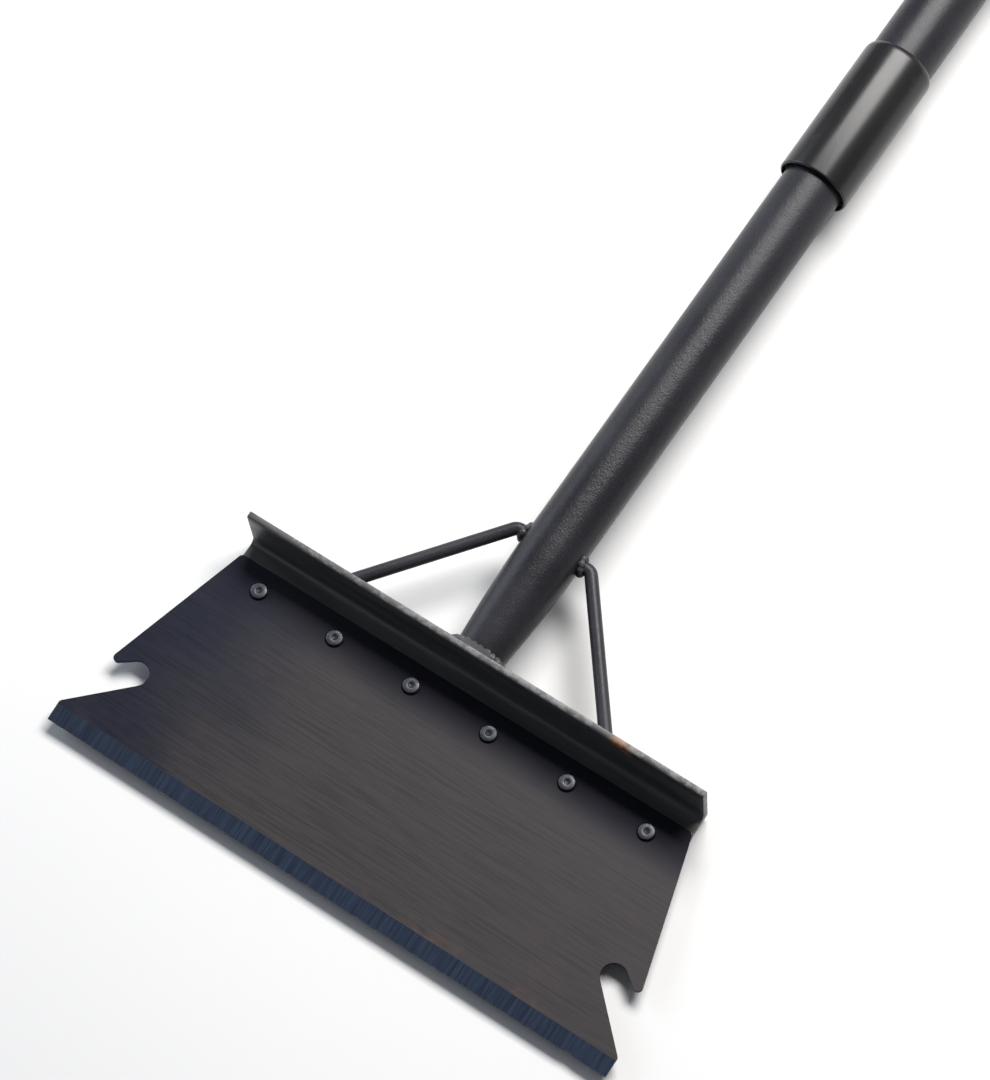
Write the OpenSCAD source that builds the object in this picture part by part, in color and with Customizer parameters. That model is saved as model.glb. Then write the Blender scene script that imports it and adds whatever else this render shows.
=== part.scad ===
// Floor scraper: a beveled blade riveted to an angle bar, on a braced telescoping handle that
// locks with a twist. It lies on its back on the floor, which is z = 0. Y runs along the handle
// from the cutting edge to the hanging eye, X runs along the cutting edge, and the origin is
// under the middle of the tool.

/* [Blade] */
// Width of the cutting edge
blade_w = 305; // [290:1:360]
// Width of the blade along its top edge
blade_top_w = 248; // [236:1:256]
// Height of the blade from the cutting edge to the top edge
blade_h = 114; // [108:1:130]
// Thickness of the blade
blade_t = 2; // [1.6:0.1:2.4]
// Depth of the ground bevel behind the cutting edge
bevel_w = 8.4; // [6:0.1:10]
// Radius of the hook notch in each side of the blade
notch_r = 6.2; // [5:0.1:6.5]

/* [Angle bar] */
// Length of the angle bar
angle_len = 248; // [240:1:256]
// Width of each leg of the angle bar
angle_leg = 32; // [30:0.5:36]
// Thickness of the angle bar
angle_t = 3.2; // [3:0.1:4]
// Distance between neighbouring rivets
rivet_pitch = 42.6; // [38:0.1:44]

/* [Handle] */
// Outer diameter of the lower tube
lower_d = 30; // [29.6:0.1:30.2]
// Length of the lower tube, from the angle bar to its top end
lower_len = 700; // [640:5:740]
// Outer diameter of the upper tube
upper_d = 32.4; // [32.2:0.1:33]
// Distance from the cutting edge to the mouth of the collar
collar_y = 409; // [400:1:460]
// Outer diameter of the collar
collar_d = 36.2; // [35.6:0.1:37]
// Length of the collar
collar_len = 78; // [70:1:100]
// Distance from the cutting edge to the end of the upper tube
upper_end = 1196; // [1150:1:1260]
// Length of the rubber grip
grip_len = 128; // [110:1:150]

/* [Braces] */
// Diameter of each brace rod
brace_d = 6.4; // [4:0.4:8]
// Distance of each brace foot from the middle of the angle bar
brace_foot_x = 70; // [60:1:80]

/* [Hidden] */
RIVETS = 6;
$fn = 96;
ARC_STEPS = 10;

// Blade outline
corner_h = 10.5;
slot_len = 35.6;
slot_low_a = 43.5;
slot_high_a = 37;
side_a = 15.9;
hook_r = 2.2;
top_corner_r = 2;
edge_t = 0.4;

// Rivets: the tails stand on the floor, below the back face of the angle bar
tail_h = 2.6;
shank_r = 2.4;
flange_r = 4.6;
flange_h = 1.5;
mandrel_r = 1.35;
mandrel_head_r = 2.2;
mandrel_head_t = 0.8;
rivet_y = blade_h - 11;

// Levels above the floor
back_z = tail_h;
blade_z = back_z + angle_t;
face_z = blade_z + blade_t;
toe_z = back_z + angle_leg;
axis_z = toe_z - 12.6;

// Angle bar
toe_r = 1.6;
root_r = 4;
leg_y = blade_h + 9;
top_y = leg_y + angle_t;

// Lower tube, swaged down to the weld
lower_r = lower_d / 2;
lower_wall = 1.2;
swage_r = 11.9;
swage_len = 62;
swage_steps = 8;
lower_end = top_y + lower_len;
weld_w = 3.4;
weld_h = 3;

// Braces
brace_r = brace_d / 2;
brace_bend_x = lower_r + 5.2;
brace_bend_y = top_y + 63;
foot_weld_w = 2.2;
foot_weld_h = 2.4;
top_weld_r = 5.6;
top_weld_h = 2.5;

// Upper tube and collar
upper_r = upper_d / 2;
upper_wall = 0.8;
upper_bore_r = upper_r - upper_wall;
collar_r = collar_d / 2;
mouth_r = 16.9;
mouth_depth = 4;
lip_len = 10;
lip_r = lower_r + 0.08;
shoulder = 4;
upper_start = collar_y + mouth_depth + lip_len;

// Twist lock inside the tubes
stud_r = 4;
stud_len = 44;
plug_len = 26;
flange_t = 3;
gap = 0.3;
sleeve_r = upper_bore_r - gap;
sleeve_len = 24;
sleeve_base = 4;
sleeve_slot_w = 2.4;
cone_fit = 0.08;
cone_small_r = 6;
cone_large_r = 11.6;
cone_len = 17;
cone_head_t = 4;
key_w = 1.4;
key_r = 13.4;
washer_t = 1.2;
washer_r = 7;
screw_head_r = 4;
screw_head_t = 2.6;
screw_r = 2;
screw_len = 14;
flange_y = lower_end;
sleeve_y = flange_y + flange_t + gap;
stud_end = flange_y + flange_t + stud_len;

// Grip and end cap
grip_r = 19.6;
grip_bead_r = 21;
grip_bead_len = 7;
cap_flange_r = axis_z;
cap_flange_t = 6;
cap_spigot_len = 18;
cap_wall = 2.4;
eye_w = 26;
eye_t = 8;
eye_len = 18;
eye_r = 4.5;
tool_len = upper_end + cap_flange_t + eye_len + eye_w / 2;

// Points on an arc about c, from angle a0 to angle a1
function arc(c, r, a0, a1) = [
    for (i = [0:ARC_STEPS])
        let (a = a0 + (a1 - a0) * i / ARC_STEPS)
        [c[0] + r * cos(a), c[1] + r * sin(a)]
];
// The point where two lines meet, each given by the angle of its normal and its distance
function meet(a1, k1, a2, k2) =
    [k1 * sin(a2) - k2 * sin(a1), k2 * cos(a1) - k1 * cos(a2)] / sin(a2 - a1);
// Distance of a point from the origin along the normal at angle a
function reach(p, a) = p[0] * cos(a) + p[1] * sin(a);
function mirrored(points) = [for (i = [len(points) - 1:-1:0]) [-points[i][0], points[i][1]]];
// Outer radius of the lower tube at a height above the weld
function swage(h) = h >= swage_len ? lower_r : swage_r + (lower_r - swage_r) * sin(90 * h / swage_len);
function swage_points(inset) = [
    for (i = [0:swage_steps])
        let (h = swage_len * i / swage_steps)
        [swage(h) - inset, h]
];

// Puts children on the floor frame, from coordinates that start at the cutting edge
module place() translate([0, -tool_len / 2, 0]) children();
// Turns a solid of revolution onto the handle's axis, y mm from the cutting edge
module on_handle(y = 0) place() translate([0, y, axis_z]) rotate([-90, 0, 0]) children();
// A revolved solid on the handle's axis, from [radius, height] points
module turned(y, points) on_handle(y) rotate_extrude() polygon(points);
// A bar of constant section along X, from [y, z] points
module bar_x(length, points) place() rotate([90, 0, 90]) linear_extrude(length, center = true) polygon(points);
// Mirrors children to the side given by s, which is 1 or -1
module side(s) mirror([s < 0 ? 1 : 0, 0, 0]) children();

notch_foot = [blade_w / 2 - slot_len * cos(slot_low_a), corner_h + slot_len * sin(slot_low_a)];
notch_c = notch_foot + notch_r * [sin(slot_low_a), cos(slot_low_a)];
hook_a = 90 - slot_high_a;
side_k = reach([blade_top_w / 2, blade_h], side_a);
hook_c = meet(hook_a, reach(notch_c, hook_a) + notch_r + hook_r, side_a, side_k - hook_r);
corner_c = meet(side_a, side_k - top_corner_r, 90, blade_h - top_corner_r);
half_blade = concat(
    [[blade_w / 2, 0], [blade_w / 2, corner_h]],
    arc(notch_c, notch_r, 270 - slot_low_a, hook_a),
    arc(hook_c, hook_r, hook_a + 180, side_a + 360),
    arc(corner_c, top_corner_r, side_a, 90)
);

function rivet_x(i) = (i - (RIVETS + 1) / 2) * rivet_pitch;
module at_rivet(i) place() translate([rivet_x(i), rivet_y, 0]) children();
module rivet_holes() {
    for (i = [1:RIVETS]) at_rivet(i) cylinder(r = shank_r, h = toe_z);
}

module blade() color("#4a474b") difference() {
    place() translate([0, 0, blade_z]) linear_extrude(blade_t) polygon(concat(half_blade, mirrored(half_blade)));
    bevel();
    rivet_holes();
}
// Wedge ground off the front face along the cutting edge
module bevel() {
    rise = (blade_t - edge_t) / bevel_w;
    bar_x(blade_w + 2, [
        [-1, blade_z + edge_t - rise],
        [bevel_w, face_z],
        [bevel_w, face_z + 1],
        [-1, face_z + 1]
    ]);
}

module angle_bar() color("#2c2c2f") difference() {
    bar_x(angle_len, concat(
        [[top_y - angle_leg, back_z], [top_y, back_z], [top_y, toe_z]],
        arc([leg_y + toe_r, toe_z - toe_r], toe_r, 90, 180),
        arc([leg_y - root_r, blade_z + root_r], root_r, 0, -90),
        arc([top_y - angle_leg + toe_r, blade_z - toe_r], toe_r, 90, 180)
    ));
    rivet_holes();
}

module rivet(i) color("#6f7076") at_rivet(i) rotate_extrude() polygon([
    [mandrel_r, mandrel_head_t], [2.7, mandrel_head_t], [3.4, 1.4], [3.5, 2], [3.3, tail_h],
    [shank_r, tail_h], [shank_r, face_z], [flange_r, face_z], [flange_r, face_z + 0.4],
    [flange_r - 0.5, face_z + 0.9], [flange_r - 1.5, face_z + 1.3], [2.2, face_z + flange_h],
    [1.7, face_z + flange_h - 0.1], [mandrel_r, face_z + flange_h - 0.4]
]);
module rivet_mandrel(i) color("#3b3c40") at_rivet(i) {
    cylinder(r1 = mandrel_head_r - 0.3, r2 = mandrel_head_r, h = mandrel_head_t);
    cylinder(r = mandrel_r, h = face_z + flange_h - 0.7);
}

module lower_tube() color("#5d5d66") turned(top_y, concat(
    swage_points(0),
    [[lower_r, lower_len], [lower_r - lower_wall, lower_len]],
    [for (i = [swage_steps:-1:0]) swage_points(lower_wall)[i]]
));
module lower_tube_core() on_handle(top_y) rotate_extrude() polygon(concat(
    swage_points(0), [[lower_r, lower_len], [0, lower_len], [0, 0]]
));
// Bead round the foot of the lower tube, cut off at the front edge of the angle bar
module tube_weld() color("#55555c") intersection() {
    difference() {
        turned(top_y, [
            [0, 0], [swage_r + weld_w, 0], [swage_r + weld_w - 0.3, 1.2],
            [swage_r + weld_w - 1.6, 2.4], [swage_r + 0.8, weld_h], [0, weld_h]
        ]);
        lower_tube_core();
    }
    place() translate([-angle_len / 2, 0, 0]) cube([angle_len, lower_end, toe_z]);
}

// Solid rod along the brace's line, from below the angle bar's top face into the tube's wall
module brace_rod() place() {
    run = [brace_foot_x - brace_bend_x, brace_bend_y - top_y];
    lean = atan(run[0] / run[1]);
    translate([brace_bend_x, brace_bend_y, axis_z]) {
        sphere(r = brace_r);
        rotate([90, 0, lean]) cylinder(r = brace_r, h = norm(run) + brace_d);
        rotate([0, -90, 0]) cylinder(r = brace_r, h = brace_bend_x - lower_r + 1);
    }
}
module above_bar() place() translate([-blade_w, top_y, 0]) cube([2 * blade_w, lower_len, 2 * axis_z]);
module brace(s) color("#4c4c54") side(s) difference() {
    intersection() {
        brace_rod();
        above_bar();
    }
    lower_tube_core();
}
module brace_foot_weld(s) color("#55555c") side(s) difference() {
    place() translate([brace_foot_x - 1.2, top_y, axis_z]) rotate([-90, 0, 0])
        cylinder(r1 = brace_r * 1.3 + foot_weld_w, r2 = brace_r + 0.6, h = foot_weld_h);
    brace_rod();
}
module brace_top_weld(s) color("#55555c") side(s) difference() {
    place() translate([lower_r - top_weld_h, brace_bend_y, axis_z]) rotate([0, 90, 0])
        cylinder(r1 = top_weld_r, r2 = brace_r + 0.6, h = 2 * top_weld_h);
    brace_rod();
    lower_tube_core();
}

// Plug pressed into the top of the lower tube, with the stud that the cone nut turns on
module lock_plug() color("#d8d4c8") difference() {
    turned(flange_y, [
        [0, -plug_len], [lower_r - lower_wall - 0.8, -plug_len], [lower_r - lower_wall, 1 - plug_len],
        [lower_r - lower_wall, 0], [lower_r - 0.2, 0], [lower_r - 0.2, flange_t],
        [stud_r, flange_t], [stud_r, flange_t + stud_len], [0, flange_t + stud_len]
    ]);
    on_handle(stud_end - screw_len) cylinder(r = screw_r, h = screw_len + 1);
}
module lock_washer() color("silver") on_handle(stud_end) difference() {
    cylinder(r = washer_r, h = washer_t);
    translate([0, 0, -1]) cylinder(r = screw_r, h = washer_t + 2);
}
module lock_screw() color("silver") difference() {
    union() {
        on_handle(stud_end - screw_len) cylinder(r = screw_r, h = screw_len + washer_t);
        on_handle(stud_end + washer_t) cylinder(r1 = screw_head_r, r2 = screw_head_r - 1.2, h = screw_head_t);
    }
    on_handle(stud_end + washer_t + screw_head_t / 2) cross_slot(5, 1.1, screw_head_t);
}
module cross_slot(length, width, depth) {
    for (a = [0, 90]) rotate([0, 0, a]) translate([-length / 2, -width / 2, 0]) cube([length, width, depth]);
}
// Split sleeve that grips the upper tube when the cone nut is drawn into it
module lock_sleeve() color("#e4dfd2") difference() {
    turned(sleeve_y, [
        [stud_r + gap, 0], [sleeve_r, 0], [sleeve_r, sleeve_len], [cone_large_r + gap, sleeve_len],
        [cone_small_r + gap, sleeve_len - cone_len], [cone_small_r + gap, sleeve_base], [stud_r + gap, sleeve_base]
    ]);
    on_handle(sleeve_y + sleeve_base + 1)
        cross_slot(2 * sleeve_r + 2, sleeve_slot_w, sleeve_len);
}
// Cone nut: its two keys slide in the sleeve's slots, so both turn together on the stud
module lock_cone() color("#c9c2b0") difference() {
    union() {
        turned(sleeve_y + sleeve_len - cone_len, [
            [0, 0], [cone_small_r, 0], [cone_large_r, cone_len], [cone_large_r, cone_len + cone_head_t], [0, cone_len + cone_head_t]
        ]);
        on_handle(sleeve_y + sleeve_base + 3) translate([-key_r, -key_w / 2, 0])
            cube([2 * key_r, key_w, sleeve_len - sleeve_base - 3 + cone_head_t]);
    }
    on_handle(sleeve_y) cylinder(r = stud_r + cone_fit, h = 2 * sleeve_len);
}

// Collar fixed on the mouth of the upper tube, with a lip that guides the lower tube
module collar() color("#3a3a3d") turned(collar_y, concat(
    [[mouth_r, 0], [collar_r - 0.8, 0], [collar_r, 0.8]],
    [[collar_r, collar_len - shoulder]],
    [for (i = [1:ARC_STEPS])
        let (a = 90 * i / ARC_STEPS)
        [upper_r + (collar_r - upper_r) * cos(a), collar_len - shoulder + shoulder * sin(a)]],
    [[upper_r, upper_start - collar_y], [lip_r, upper_start - collar_y], [lip_r, mouth_depth], [mouth_r, mouth_depth - 1.5]]
));
module upper_tube() color("#5d5d66") on_handle(upper_start) difference() {
    cylinder(r = upper_r, h = upper_end - upper_start);
    translate([0, 0, -1]) cylinder(r = upper_bore_r, h = upper_end - upper_start + 2);
}
// Rubber grip with a bead at each end and shallow grooves between them
module grip() color("#1e1e20") turned(upper_end - grip_len, concat(
    [[upper_r, 0], [grip_bead_r - 1.5, 0], [grip_bead_r, 2], [grip_bead_r, grip_bead_len - 2], [grip_r, grip_bead_len]],
    [for (i = [1:9]) for (d = [-2, 0, 2])
        [grip_r - (d == 0 ? 0.9 : 0), grip_bead_len + (grip_len - 2 * grip_bead_len) * i / 10 + d]],
    [[grip_r, grip_len - grip_bead_len], [grip_bead_r, grip_len - grip_bead_len + 2], [grip_bead_r, grip_len], [upper_r, grip_len]]
));
// Cap plugged into the upper tube, with a flat eye to hang the tool by
module end_cap() color("#1e1e20") difference() {
    union() {
        turned(upper_end, [
            [upper_bore_r - cap_wall, -cap_spigot_len], [upper_bore_r - 0.4, -cap_spigot_len],
            [upper_bore_r, 0.4 - cap_spigot_len], [upper_bore_r, 0], [cap_flange_r, 0], [cap_flange_r, 2.5],
            [cap_flange_r - 1, 4.2], [cap_flange_r - 3, cap_flange_t - 0.6], [cap_flange_r - 6, cap_flange_t],
            [0, cap_flange_t], [0, 0], [upper_bore_r - cap_wall, 0]
        ]);
        eye_blank();
    }
    place() translate([0, eye_y(), 0]) cylinder(r = eye_r, h = 2 * axis_z);
}
function eye_y() = upper_end + cap_flange_t + eye_len;
module eye_blank() place() translate([0, eye_y(), axis_z - eye_t / 2]) {
    cylinder(r = eye_w / 2, h = eye_t);
    translate([-eye_w / 2, -eye_len - 1, 0]) cube([eye_w, eye_len + 1, eye_t]);
}

blade();
angle_bar();
for (i = [1:RIVETS]) {
    rivet(i);
    rivet_mandrel(i);
}
tube_weld();
lower_tube();
brace(-1);  // brace_left
brace(1);  // brace_right
brace_foot_weld(-1);  // brace_foot_weld_left
brace_foot_weld(1);  // brace_foot_weld_right
brace_top_weld(-1);  // brace_top_weld_left
brace_top_weld(1);  // brace_top_weld_right
lock_plug();
lock_washer();
lock_screw();
lock_sleeve();
lock_cone();
collar();
upper_tube();
grip();
end_cap();
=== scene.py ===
"""Looks of a floor scraper: a riveted blade and angle bar on a braced, telescoping handle.

Every length is in metres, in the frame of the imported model: the floor is z = 0, Y runs along the
handle and X along the cutting edge. Distances along the handle start at the cutting edge.
"""

import logging
import math
import random
from collections.abc import Callable, Sequence
from dataclasses import dataclass
from enum import Enum

import bmesh
import bpy
from mathutils import Matrix, Vector


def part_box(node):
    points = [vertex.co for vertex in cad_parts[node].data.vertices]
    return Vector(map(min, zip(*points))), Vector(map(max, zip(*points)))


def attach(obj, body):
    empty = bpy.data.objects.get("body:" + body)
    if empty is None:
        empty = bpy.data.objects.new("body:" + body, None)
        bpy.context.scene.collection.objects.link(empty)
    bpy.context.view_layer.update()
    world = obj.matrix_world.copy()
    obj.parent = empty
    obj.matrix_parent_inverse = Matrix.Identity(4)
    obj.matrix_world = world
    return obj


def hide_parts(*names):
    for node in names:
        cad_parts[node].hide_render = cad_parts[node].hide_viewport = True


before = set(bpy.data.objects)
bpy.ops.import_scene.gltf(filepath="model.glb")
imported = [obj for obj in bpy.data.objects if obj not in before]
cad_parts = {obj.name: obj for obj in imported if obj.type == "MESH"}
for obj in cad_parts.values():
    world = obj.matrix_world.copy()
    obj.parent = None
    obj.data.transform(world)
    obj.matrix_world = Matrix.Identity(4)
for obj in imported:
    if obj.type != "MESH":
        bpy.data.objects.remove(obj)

LOG = logging.getLogger("floor_scraper")
MM = 0.001

Point = tuple[float, float]
Color = tuple[float, float, float]
Socket = bpy.types.NodeSocket
Material = bpy.types.Material
Object = bpy.types.Object
BMesh = bmesh.types.BMesh
BMVert = bmesh.types.BMVert


class Body(Enum):
    """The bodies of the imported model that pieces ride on."""

    HEAD = "head"
    HANDLE = "handle"


@dataclass(frozen=True)
class Datum:
    """Where the tool lies in the frame.

    Attributes:
        edge_y: Y of the cutting edge.
        axis_z: Height of the handle's axis above the floor.
    """

    edge_y: float
    axis_z: float

    @classmethod
    def read(cls) -> "Datum":
        """Read the cutting edge and the handle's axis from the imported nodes."""
        low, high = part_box("lower_tube")
        return cls(edge_y=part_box("blade")[0].y, axis_z=(low.z + high.z) / 2)

    def on_axis(self, along: float) -> Vector:
        """Return the point on the handle's axis at a distance from the cutting edge.

        Args:
            along: Distance from the cutting edge.

        Returns:
            The point in the frame.
        """
        return Vector((0.0, self.edge_y + along, self.axis_z))


# ---------------------------------------------------------------------------------------------
# Node trees


class TreeBuilder:
    """What a material's node tree and a geometry node tree are both built with."""

    tree: bpy.types.NodeTree

    def put(self, socket: Socket, value: object) -> None:
        """Set a socket to a constant, or link it when the value is itself a socket.

        Args:
            socket: The input socket.
            value: A constant or an output socket.
        """
        if isinstance(value, Socket):
            self.tree.links.new(value, socket)
        else:
            socket.default_value = value

    def math(self, operation: str, first: object, second: object = 0.0) -> Socket:
        """Return the result of one arithmetic node.

        Args:
            operation: The operation.
            first: First value or socket.
            second: Second value or socket.

        Returns:
            The result's socket.
        """
        node = self.tree.nodes.new("ShaderNodeMath")
        node.operation = operation
        self.put(node.inputs[0], first)
        self.put(node.inputs[1], second)
        return node.outputs["Value"]


class Graph(TreeBuilder):
    """A small builder for one material's shader nodes."""

    def __init__(self, name: str) -> None:
        """Make an empty node material.

        Args:
            name: The material's name.
        """
        self.material = bpy.data.materials.new(name)
        self.material.use_nodes = True
        self.tree = self.material.node_tree
        self.tree.nodes.clear()
        self.out = self.tree.nodes.new("ShaderNodeOutputMaterial")
        self.shader = self.tree.nodes.new("ShaderNodeBsdfPrincipled")
        self.join(self.shader.outputs["BSDF"], self.out.inputs["Surface"])
        coordinates = self.tree.nodes.new("ShaderNodeTexCoord")
        self.place = coordinates.outputs["Object"]

    def join(self, source: Socket, target: Socket) -> None:
        """Link one socket to another."""
        self.tree.links.new(source, target)

    def stretched(self, scale: Color, turn: Color = (0.0, 0.0, 0.0)) -> Socket:
        """Return object coordinates scaled and turned, for a pattern with a direction.

        Args:
            scale: Scale along X, Y and Z.
            turn: Rotation in radians about X, Y and Z.

        Returns:
            The coordinate socket.
        """
        node = self.tree.nodes.new("ShaderNodeMapping")
        self.join(self.place, node.inputs["Vector"])
        node.inputs["Scale"].default_value = scale
        node.inputs["Rotation"].default_value = turn
        return node.outputs["Vector"]

    def noise(
        self, scale: float, detail: float = 4.0, rough: float = 0.55, at: object = None, warp: float = 0.0
    ) -> Socket:
        """Return a noise pattern's factor.

        Args:
            scale: Features per metre.
            detail: Octaves of detail.
            rough: Weight of the finer octaves.
            at: Coordinate socket, or None for plain object coordinates.
            warp: Distortion of the pattern.

        Returns:
            The factor socket.
        """
        node = self.tree.nodes.new("ShaderNodeTexNoise")
        self.join(self.place if at is None else at, node.inputs["Vector"])
        node.inputs["Scale"].default_value = scale
        node.inputs["Detail"].default_value = detail
        node.inputs["Roughness"].default_value = rough
        node.inputs["Distortion"].default_value = warp
        return node.outputs["Fac"]

    def span(self, value: object, low: float, high: float, to_low: float, to_high: float) -> Socket:
        """Map a range of values smoothly to another range, clamped at both ends.

        Args:
            value: The value to map.
            low: Start of the source range.
            high: End of the source range.
            to_low: Result at the start.
            to_high: Result at the end.

        Returns:
            The mapped value.
        """
        node = self.tree.nodes.new("ShaderNodeMapRange")
        node.interpolation_type = "SMOOTHSTEP"
        self.put(node.inputs["Value"], value)
        node.inputs["From Min"].default_value = low
        node.inputs["From Max"].default_value = high
        node.inputs["To Min"].default_value = to_low
        node.inputs["To Max"].default_value = to_high
        return node.outputs["Result"]

    def mix(self, factor: object, first: object, second: object) -> Socket:
        """Return a blend of two colours.

        Args:
            factor: 0 for the first colour, 1 for the second.
            first: A colour or a colour socket.
            second: A colour or a colour socket.

        Returns:
            The mixed colour.
        """
        node = self.tree.nodes.new("ShaderNodeMix")
        node.data_type = "RGBA"
        self.put(node.inputs[0], factor)
        for socket, value in ((node.inputs[6], first), (node.inputs[7], second)):
            self.put(socket, (*value, 1.0) if isinstance(value, tuple) else value)
        return node.outputs[2]

    def axis(self, index: int) -> Socket:
        """Return one component of the object coordinates.

        Args:
            index: 0 for X, 1 for Y and 2 for Z.

        Returns:
            The component's socket.
        """
        node = self.tree.nodes.new("ShaderNodeSeparateXYZ")
        self.join(self.place, node.inputs[0])
        return node.outputs[index]

    def mask(self, name: str) -> Socket:
        """Return a mask that a piece carries as a point attribute.

        Args:
            name: The attribute's name.

        Returns:
            The mask's socket.
        """
        node = self.tree.nodes.new("ShaderNodeAttribute")
        node.attribute_name = name
        return node.outputs["Fac"]

    def relief(
        self, height: object, depth: float, strength: float = 1.0, below: object = None
    ) -> Socket:
        """Return a bumped normal.

        Args:
            height: The height pattern, from 0 to 1.
            depth: The height in metres between 0 and 1.
            strength: How much of the bump shows.
            below: A coarser normal to add to, if any.

        Returns:
            The normal socket.
        """
        node = self.tree.nodes.new("ShaderNodeBump")
        node.inputs["Strength"].default_value = strength
        node.inputs["Distance"].default_value = depth
        self.put(node.inputs["Height"], height)
        if below is not None:
            self.join(below, node.inputs["Normal"])
        return node.outputs["Normal"]

    def finish(self, color: object, roughness: object, normal: object = None, **plain: object) -> Material:
        """Connect the shader and return the material.

        Args:
            color: Base colour.
            roughness: Surface roughness.
            normal: A bumped normal, if any.
            **plain: Constant values of other shader inputs, with spaces in their names as underscores.

        Returns:
            The finished material.
        """
        inputs = self.shader.inputs
        self.put(inputs["Base Color"], (*color, 1.0) if isinstance(color, tuple) else color)
        self.put(inputs["Roughness"], roughness)
        if normal is not None:
            self.join(normal, inputs["Normal"])
        for name, value in plain.items():
            self.put(inputs[name.replace("_", " ")], value)
        return self.material


# ---------------------------------------------------------------------------------------------
# Finishes


@dataclass(frozen=True)
class PowderCoat:
    """Baked powder paint: a fine pebbled skin with slow changes of tone.

    Attributes:
        name: The material's name.
        color: Paint colour.
        roughness: Mean roughness.
        grain: Pebbles per metre.
        depth: Height of the pebbles.
        specular: Specular level.
    """

    name: str
    color: Color
    roughness: float
    grain: float = 1150.0
    depth: float = 0.0002
    specular: float = 0.15

    def make(self) -> Material:
        """Build the material.

        Returns:
            The material.
        """
        g = Graph(self.name)
        clouds = g.noise(14.0, 3.0)
        pebbles = g.noise(self.grain, 3.0, 0.6)
        peel = g.noise(self.grain / 5.0, 2.0)
        dark = tuple(c * 0.72 for c in self.color)
        light = tuple(c * 1.22 for c in self.color)
        tone = g.mix(g.span(clouds, 0.3, 0.7, 0.0, 1.0), dark, light)
        fleck = tuple(c * 2.1 for c in self.color)
        color = g.mix(g.span(pebbles, 0.5, 0.72, 0.0, 0.4), tone, fleck)
        rough = g.span(clouds, 0.3, 0.7, self.roughness - 0.05, self.roughness + 0.06)
        normal = g.relief(peel, self.depth * 1.5, 0.3)
        normal = g.relief(pebbles, self.depth, 0.7, normal)
        return g.finish(color, rough, normal, Specular_IOR_Level=self.specular)


@dataclass(frozen=True)
class GroundSteel:
    """Bare blade steel with grinding marks that run one way.

    Attributes:
        name: The material's name.
        near: Steel colour towards +X.
        far: Steel colour towards -X, darker and bluer.
        half_width: Half the width over which the colour changes.
        marks: Scale of the grinding marks along X, Y and Z.
        turn: Angle of the marks in the blade's plane.
        roughness: Mean roughness.
        depth: Depth of the marks.
        metallic: How metallic the surface is.
        contrast: How much darker the marks are.
        painted_shadow: Where along Y the angle bar's painted shadow, a dark blue band, starts and ends, if
            the steel has one.
        specular: Specular level.
    """

    # Near-black blue of the painted shadow that the angle bar casts on the blade.
    BAR_SHADOW_BLUE = (0.004, 0.0046, 0.0105)
    STAIN = (0.075, 0.048, 0.034)
    BEVEL_GAP = 0.077
    STAIN_WIDTH = 0.009

    name: str
    near: Color
    far: Color
    half_width: float
    marks: Color
    turn: float
    roughness: float
    depth: float
    metallic: float
    contrast: float = 0.27
    painted_shadow: Point | None = None
    specular: float = 0.5

    def make(self) -> Material:
        """Build the material.

        Returns:
            The material.
        """
        g = Graph(self.name)
        streaks = g.noise(1.0, 5.0, 0.62, g.stretched(self.marks, (0.0, 0.0, self.turn)))
        fine_scale = tuple(m * 2.6 for m in self.marks)
        fine = g.noise(1.0, 3.0, 0.6, g.stretched(fine_scale, (0.0, 0.0, self.turn * 0.5)))
        clouds = g.noise(9.0, 4.0, 0.5, None, 0.4)
        across = g.math("ADD", g.axis(0), g.span(clouds, 0.2, 0.8, -0.03, 0.03))
        side = g.span(across, -self.half_width * 0.85, -self.half_width * 0.3, 0.0, 1.0)
        base = g.mix(side, self.far, self.near)
        dark = g.mix(self.contrast, base, (0.0, 0.0, 0.0))
        tone = g.mix(g.span(streaks, 0.32, 0.68, 0.0, 1.0), dark, base)
        stain = tuple(c * f for c, f in zip(self.near, (1.25, 0.95, 0.78)))
        tone = g.mix(g.span(g.noise(38.0, 6.0, 0.65), 0.58, 0.78, 0.0, 0.35), tone, stain)
        color = tone if self.painted_shadow is None else self.paint_bar_shadow(g, tone, clouds)
        rough = g.span(streaks, 0.3, 0.7, self.roughness - 0.07, self.roughness + 0.07)
        normal = g.relief(streaks, self.depth, 0.5)
        normal = g.relief(fine, self.depth * 0.5, 0.4, normal)
        return g.finish(color, rough, normal, Metallic=self.metallic, Specular_IOR_Level=self.specular)

    def paint_bar_shadow(self, g: Graph, tone: Socket, clouds: Socket) -> Socket:
        """Paint the angle bar's shadow onto the steel as a dark blue band, and stain it faintly behind the
        bevel.

        Args:
            g: The material under construction.
            tone: The steel's colour so far.
            clouds: Slow noise that keeps the band's edge uneven.

        Returns:
            clouds: Slow noise that keeps the painted shadow's edge uneven.
        """
        start, end = self.painted_shadow
        # Painted shadow under the angle bar: the steel darkens to near-black blue between start and end
        # along Y, weaker towards -X.
        along = g.math("ADD", g.axis(1), g.span(clouds, 0.2, 0.8, -0.003, 0.003))
        reach = g.span(g.axis(0), -0.12, -0.03, 0.25, 1.0)
        bar_shadow = g.math("MULTIPLY", reach, g.span(along, start, end, 0.0, 0.92))
        tone = g.mix(bar_shadow, tone, self.BAR_SHADOW_BLUE)
        bevel = start - self.BEVEL_GAP
        behind = g.span(g.axis(1), bevel, bevel + self.STAIN_WIDTH, 1.0, 0.0)
        line = g.math("MULTIPLY", behind, g.span(g.axis(0), -0.08, 0.05, 0.1, 0.45))
        spots = g.math("MULTIPLY", line, g.span(g.noise(70.0, 5.0, 0.65), 0.5, 0.68, 0.0, 1.0))
        return g.mix(spots, tone, self.STAIN)


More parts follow.
